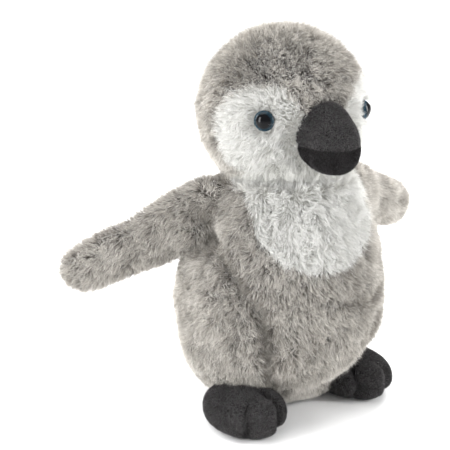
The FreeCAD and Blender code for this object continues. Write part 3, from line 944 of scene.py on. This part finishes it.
points, faces = beakGrid(1.0)
points, faces = stuff("beak", points, faces, lambda p: np.abs(beakSeam(p)), voxel=2.6, cap=0.6)
outward = normalsOf(points, faces)
crease = beak["seamDepth"] * np.exp(-(beakSeam(points) / beak["seamWidth"]) ** 2)
points = points - outward * crease[:, None]
beakSurface = (points, faces, normalsOf(points, faces))
putForm("beakBody", beakSurface, [charcoalCloth], ["beak_stuffing"], "head")


def beakShown(points):
    # no nap inside the head
    return lengths(points - headMiddle)[:, 0] > head["radius"] - 3.5


def beakComb(points):
    # the nap runs towards the tip
    return np.broadcast_to(beakAxes()[0] + np.array([0, 0, -0.3]), points.shape)


growVelboa("beakUpperPile", beakSurface, lambda p: (beakSeam(p) >= 0) & beakShown(p), beakComb,
           charcoalHair, 51, ["beak_upper_panel"], "head")
growVelboa("beakLowerPile", beakSurface, lambda p: (beakSeam(p) < 0) & beakShown(p), beakComb,
           beakUnderShadeNap, 52, ["beak_lower_panel"], "head")
print("beak covered")


eye = {"radius": 5.95, "dome": 3.4, "overlap": 0.1, "skirt": 1.6, "lookRadius": 50.2, "lookTilt": 4.5}


def eyeFinish():
    # v runs from the middle of the dome to its rim: black middle, a slate iris with fine spokes, a dark edge
    finish, nodes, links, shader = newFinish("eyeGloss")
    where = nodes.new("ShaderNodeUVMap")
    where.uv_map = "OFBake"
    split = nodes.new("ShaderNodeSeparateXYZ")
    links.new(where.outputs["UV"], split.inputs["Vector"])
    black = (0.003, 0.003, 0.004)
    bands = ramp(nodes, [(0.0, black), (0.66, black), (0.72, (0.005, 0.012, 0.018)),
                         (0.86, (0.010, 0.028, 0.042)), (0.94, (0.018, 0.048, 0.070)),
                         (1.0, (0.004, 0.008, 0.012))])
    links.new(split.outputs["Y"], bands.inputs["Fac"])
    stretch = nodes.new("ShaderNodeMapping")
    stretch.inputs["Scale"].default_value = (60, 2, 1)
    spokes = nodes.new("ShaderNodeTexNoise")
    spokes.inputs["Scale"].default_value = 1.0
    links.new(where.outputs["UV"], stretch.inputs["Vector"])
    links.new(stretch.outputs["Vector"], spokes.inputs["Vector"])
    fine = ramp(nodes, [(0.35, (0.65, 0.65, 0.65)), (0.6, (1, 1, 1))])
    links.new(spokes.outputs["Fac"], fine.inputs["Fac"])
    iris = multiplied(nodes, links, bands.outputs["Color"], fine.outputs["Color"])
    links.new(iris, shader.inputs["Base Color"])
    shader.inputs["Roughness"].default_value = 0.08
    shader.inputs["Specular IOR Level"].default_value = 0.13
    shader.inputs["Coat Weight"].default_value = 0.05
    shader.inputs["Coat Roughness"].default_value = 0.04
    return finish


def eyeDome(side):
    # a shallow dome turned about the way the eye looks: a cap of a sphere, then a rim that rolls under
    centre = eyeMiddle[side]
    rise = eye["lookRadius"] * math.sin(math.radians(eye["lookTilt"]))
    look = unit(np.array([*(centre - headMiddle)[:2], rise]))
    across = unit(np.cross([0, 0, 1.0], look))
    lift = np.cross(look, across)
    capRadius = (eye["radius"] ** 2 + eye["dome"] ** 2) / (2 * eye["dome"])
    slope = np.linspace(math.asin(eye["radius"] / capRadius), 0.02, 26)
    skirtReach = eye["radius"] + np.array([-0.5, 0.12, 0.12])
    skirtRise = [-eye["skirt"], 0.1 - eye["skirt"], -0.35]
    reach = np.concatenate([skirtReach, capRadius * np.sin(slope)])
    rise = np.concatenate([skirtRise, capRadius * np.cos(slope) - capRadius + eye["dome"]])
    turn = np.linspace(0, 2 * math.pi, 64, endpoint=False)
    plate = readMesh(frame["nodes"][side + "_eye_back"].data)[0]
    seat = centre + look * ((plate @ look).max() - centre @ look - eye["overlap"])
    rings = (seat + look * rise[:, None, None] + (reach[:, None] * np.cos(turn))[..., None] * across
             + (reach[:, None] * np.sin(turn))[..., None] * lift)
    points, faces = closedTube(rings)
    v = np.concatenate([np.repeat(np.clip(reach / eye["radius"], 0, 1), 64), [0.85, 0.0]])
    u = np.concatenate([np.tile(np.arange(64) / 64, len(reach)), [0.5, 0.5]])
    eyeMap = np.stack([u * 0.9 + 0.05, v * 0.96 + 0.02], axis=1)
    dome = putMesh(side + "EyeDome", points, faces, glossyEye, eyeMap)
    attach(dome, "head")
    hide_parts(side + "_eye_dome")


glossyEye = eyeFinish()
for side in ("left", "right"):
    eyeDome(side)
print("eyes set")


def flipperGrid(place, inset):
    # ellipses along the flipper, as high as its outline and as thick in proportion
    shoulder, out, through, width = place
    low, high = inset - flipper["rootRadius"], flipper["length"] + flipper["tipRadius"] - inset
    x = (low + high) / 2 - (high - low) / 2 * np.cos(np.linspace(0.05, math.pi - 0.05, 70))
    half = flipperOutline(x, inset)[:, None]
    deep = half * (flipper["halfThick"] - inset * 0.8) / (flipper["rootRadius"] - inset)
    turn = np.linspace(0, 2 * math.pi, 60, endpoint=False)[None, :]
    rings = (shoulder + x[:, None, None] * out + (deep * np.cos(turn))[..., None] * through
             + (half * np.sin(turn))[..., None] * width)
    return closedTube(rings if np.dot(np.cross(through, width), out) > 0 else rings[:, ::-1])


def flipperSeam(points, place):
    # the seam runs round the edge, except at the root
    x, y = flipperLocal(points, place)[:2]
    return np.abs(y) + np.where(x < flipper["sewnFrom"], 99, 0)


def flipperHalf(points, place, sign):
    # the front or the back half of the flipper, without the part that is sunk in the torso
    x, y = flipperLocal(points, place)[:2]
    return (y * sign >= 0) & (x > flipper["hairFrom"])


def flipperComb(place):
    # the coat lies towards the tip and hangs a little
    return lambda points: np.broadcast_to(place[1] + np.array([0, 0, -0.45]), points.shape)


def flipperPaintedShade(place):
    # painted shade: the coat is painted darker where the root turns in under the torso
    def shade(points, outward):
        x, y, z = flipperLocal(points, place)
        return 0.75 * np.exp(-((x - 1) / 9) ** 2) * (1 - smoothStep(z, 2, 14)) * (y < 2)
    return shade


flipperDents = {"right": [(48, -7, 8, 9.0, 3.4), (30, -8, -4, 8.0, 2.2), (1, -10, -8, 8.0, 3.6)],
                "left": [(42, -7, 4, 9.0, 2.4), (1, -10, -6, 8.0, 2.4)]}
for side, seed in (("left", 61), ("right", 71)):
    place = flipperPlace(side)
    points, faces = flipperGrid(place, flipper["inset"])
    points, faces = stuff(side + "Flipper", points, faces, lambda p: flipperSeam(p, place), 3.2, flipper["cap"])
    outward = normalsOf(points, faces)
    for x, y, z, size, depth in flipperDents[side]:
        spot = place[0] + place[1] * x + place[2] * y + place[3] * z
        points = pinch(points, outward, spot - place[3] * 7, spot + place[3] * 7, size, depth)
    surface = (points, faces, normalsOf(points, faces))
    putForm(side + "FlipperBody", surface, [greyKnit], [side + "_flipper_stuffing"], side + "_flipper")
    for part, sign in (("Front", -1), ("Back", 1)):
        growPile(side + "Flipper" + part + "Pile", surface,
                 lambda p: flipperHalf(p, place, sign),
                 flipperComb(place), greyHair, seed + sign, [side + "_flipper_" + part.lower() + "_panel"],
                 side + "_flipper", pile=wingLitPile, paintedShade=flipperPaintedShade(place))
print("flippers covered")


foot = {"toeOut": 8.5, "grooveWidth": (2.8, 2.2), "grooveDepth": (4.5, 8.5), "reachBack": (17, 27), "knob": 2.6,
        "knobSize": 9.0, "soleSeam": 3.0, "seamWidth": 0.9, "seamDepth": 0.8, "centre": 11.0, "under": 15.0}


def footGrid(low, high, inset):
    # an ellipsoid cut flat at the floor: rings run from the middle of the sole up to the top
    middle, half = (low + high) / 2, (high - low) / 2
    top = high[2] - inset
    centre, under = foot["centre"], foot["under"]
    turn = np.linspace(0, 2 * math.pi, 90, endpoint=False)[None, :]
    floor = math.asin(max((inset - centre) / under, -1))
    rise = np.linspace(floor, math.pi / 2 - 0.03, 44)[:, None]
    rings = np.stack([middle[0] + (half[0] - inset) * np.cos(rise) * np.cos(turn),
                      middle[1] + (half[1] - inset) * np.cos(rise) * np.sin(turn),
                      centre + np.where(rise < 0, under, top - centre) * np.sin(rise) + 0 * turn], axis=-1)
    sole = np.stack([middle + (rings[0] - middle) * [k, k, 1] for k in (0.25, 0.5, 0.75, 0.93)])
    sole[..., 2] = inset
    return closedTube(np.concatenate([sole, rings]))


def footComb(points):
    # the nap runs to the toes
    return np.broadcast_to(np.array([0, -1.0, -0.2]), points.shape)


for side, seed in (("left", 81), ("right", 91)):
    low, high = nodeBox(side + "_foot_upper", side + "_foot_sole")
    middle = (low + high) / 2
    front = low[1]
    points, faces = footGrid(low, high, 1.0)
    points, faces = stuff(side + "Foot", points, faces, lambda p: np.abs(p[:, 2] - foot["soleSeam"]), 3.0, 0.0)
    outward = normalsOf(points, faces)
    # grooves between the toes, deepest at the front, and the seam round the sole
    knob = lengths(points - [middle[0] + 1.0, front + 8.0, 13.0])[:, 0]
    points = points + outward * (foot["knob"] * np.exp(-(knob / foot["knobSize"]) ** 2))[:, None]
    inner = 1 if side == "right" else -1
    for step in (-1, 1):
        which = int(step == inner)
        width, depth = foot["grooveWidth"][which], foot["grooveDepth"][which]
        ahead, back = front + foot["reachBack"][which] - points[:, 1], foot["reachBack"][which]
        curve = 0.55 + 0.75 * smoothStep(ahead, 0, back - 8) - 0.3 * smoothStep(ahead, back - 7, back)
        gap = points[:, 0] - middle[0] - step * foot["toeOut"] * curve
        reachIn = smoothStep(ahead, 0, back * 0.5) * smoothStep(points[:, 2], 0.5, 5.0)
        groove = depth * reachIn * np.exp(-(gap / width) ** 2)
        points = points - outward * [0.5, 1, 0.9] * groove[:, None]
    crease = foot["seamDepth"] * np.exp(-((points[:, 2] - foot["soleSeam"]) / foot["seamWidth"]) ** 2)
    points = points - outward * crease[:, None]
    points[:, 2] = np.maximum(points[:, 2], 0.9)
    surface = (points, faces, normalsOf(points, faces))
    putForm(side + "FootBody", surface, [charcoalCloth], [side + "_foot_stuffing"], side + "_foot")
    growVelboa(side + "FootUpperPile", surface, lambda p: p[:, 2] >= foot["soleSeam"], footComb,
               charcoalHair, seed, [side + "_foot_upper"], side + "_foot")
    growVelboa(side + "FootSolePile", surface, lambda p: (p[:, 2] < foot["soleSeam"]) & (p[:, 2] > 1.1),
               footComb, charcoalHair, seed + 1, [side + "_foot_sole"], side + "_foot")
print("feet covered")

# threads, eye backs and washers keep their own shapes


def plainFinish(name, dark, light, roughness, scale, bump=0.0):
    # moulded plastic or sewing thread: a faint mottle and a fine grain
    finish, nodes, links, shader = newFinish(name)
    where = nodes.new("ShaderNodeTexCoord")
    grain = nodes.new("ShaderNodeTexNoise")
    grain.inputs["Scale"].default_value = scale
    grain.inputs["Detail"].default_value = 4
    tone = ramp(nodes, [(0.35, dark), (0.65, light)])
    links.new(where.outputs["Object"], grain.inputs["Vector"])
    links.new(grain.outputs["Fac"], tone.inputs["Fac"])
    links.new(tone.outputs["Color"], shader.inputs["Base Color"])
    raised = nodes.new("ShaderNodeBump")
    raised.inputs["Strength"].default_value = bump
    raised.inputs["Distance"].default_value = 0.0003
    links.new(grain.outputs["Fac"], raised.inputs["Height"])
    links.new(raised.outputs["Normal"], shader.inputs["Normal"])
    shader.inputs["Roughness"].default_value = roughness
    return finish


threadFinish = plainFinish("charcoalThread", (0.010, 0.009, 0.009), (0.022, 0.020, 0.020), 0.85, 2500, 0.6)
backFinish = plainFinish("eyeBackPlastic", (0.012, 0.012, 0.013), (0.020, 0.020, 0.022), 0.35, 400, 0.1)
washerFinish = plainFinish("washerPlastic", (0.62, 0.62, 0.60), (0.70, 0.70, 0.68), 0.5, 300, 0.2)
smallParts = {"_toe_stitches": threadFinish, "_eye_back": backFinish, "_eye_washer": washerFinish}
for side in ("left", "right"):
    for part, finish in smallParts.items():
        mesh = frame["nodes"][side + part].data
        mesh.materials.clear()
        mesh.materials.append(finish)

# the neck is a gathered ball of stuffing that joins the head to the torso

neckLow, neckHigh = nodeBox("neck_stuffing")
neck = {"gathers": 14, "gatherDepth": 0.7}


def neckGrid():
    # a ball whose side is pulled into shallow upright gathers
    middle, radius = (neckLow + neckHigh) / 2, (neckHigh[0] - neckLow[0]) / 2 - 0.8
    rise = np.linspace(-math.pi / 2, math.pi / 2, 42)[1:-1, None]
    turn = np.linspace(0, 2 * math.pi, 112, endpoint=False)[None, :]
    size = radius - neck["gatherDepth"] * np.cos(rise) * (0.5 + 0.5 * np.cos(turn * neck["gathers"]))
    return closedTube(np.stack([size * np.cos(rise) * np.cos(turn), size * np.cos(rise) * np.sin(turn),
                                size * np.sin(rise)], axis=-1) + middle)


points, faces = neckGrid()
putForm("neckBody", (points, faces), [greyKnit], ["neck_stuffing"], "neck")

# the care label is a blank folded tape sewn into the seat seam

labelLow, labelHigh = nodeBox("care_label")
label = {"width": 16.0, "drop": 14.0, "thick": 0.5, "turn": 150.0, "sag": 1.6, "curl": 0.8}


def labelGrid():
    # a strip that leaves the seam level, sags as it goes out and lifts a little at its two corners
    middle = (labelLow + labelHigh) / 2
    away, across = pointing(label["turn"], 0), pointing(label["turn"] + 90, 0)
    out, over = np.meshgrid(np.linspace(-0.5, 0.5, 22), np.linspace(-0.5, 0.5, 26), indexing="ij")
    drop = -label["sag"] * (out + 0.5) ** 2 + label["curl"] * (out + 0.5) * (2 * over) ** 2
    return (middle + away * (out * label["drop"])[..., None] + across * (over * label["width"])[..., None]
            + np.array([0, 0, 1.0]) * drop[..., None])


def ribbonFinish():
    # satin tape: fine warp and weft in relief on an off-white ground
    finish, nodes, links, shader = newFinish("labelSatin")
    where = nodes.new("ShaderNodeUVMap")
    where.uv_map = "OFBake"
    weave = nodes.new("ShaderNodeTexWave")
    weave.inputs["Scale"].default_value = 26
    weave.inputs["Distortion"].default_value = 1.2
    tone = ramp(nodes, [(0.2, (0.70, 0.70, 0.68)), (0.8, (0.82, 0.82, 0.80))])
    raised = nodes.new("ShaderNodeBump")
    raised.inputs["Strength"].default_value = 0.3
    raised.inputs["Distance"].default_value = 0.0002
    links.new(where.outputs["UV"], weave.inputs["Vector"])
    links.new(weave.outputs["Fac"], tone.inputs["Fac"])
    links.new(tone.outputs["Color"], shader.inputs["Base Color"])
    links.new(weave.outputs["Fac"], raised.inputs["Height"])
    links.new(raised.outputs["Normal"], shader.inputs["Normal"])
    shader.inputs["Roughness"].default_value = 0.38
    return finish


top = labelGrid()
rows, columns = top.shape[:2]
faces = gridFaces(rows, columns, closed=False)
u, v = np.meshgrid(np.linspace(0.02, 0.98, rows), np.linspace(0.02, 0.98, columns), indexing="ij")
tapeMap = np.stack([u, v], axis=-1).reshape(-1, 2)
tape = putMesh("careLabel", top.reshape(-1, 3), faces, ribbonFinish(), tapeMap)
thick = tape.modifiers.new("thick", "SOLIDIFY")
thick.thickness, thick.offset = label["thick"] * mm, 0
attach(tape, "torso")
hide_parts("care_label")
print("threads, neck and label done")


low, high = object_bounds()
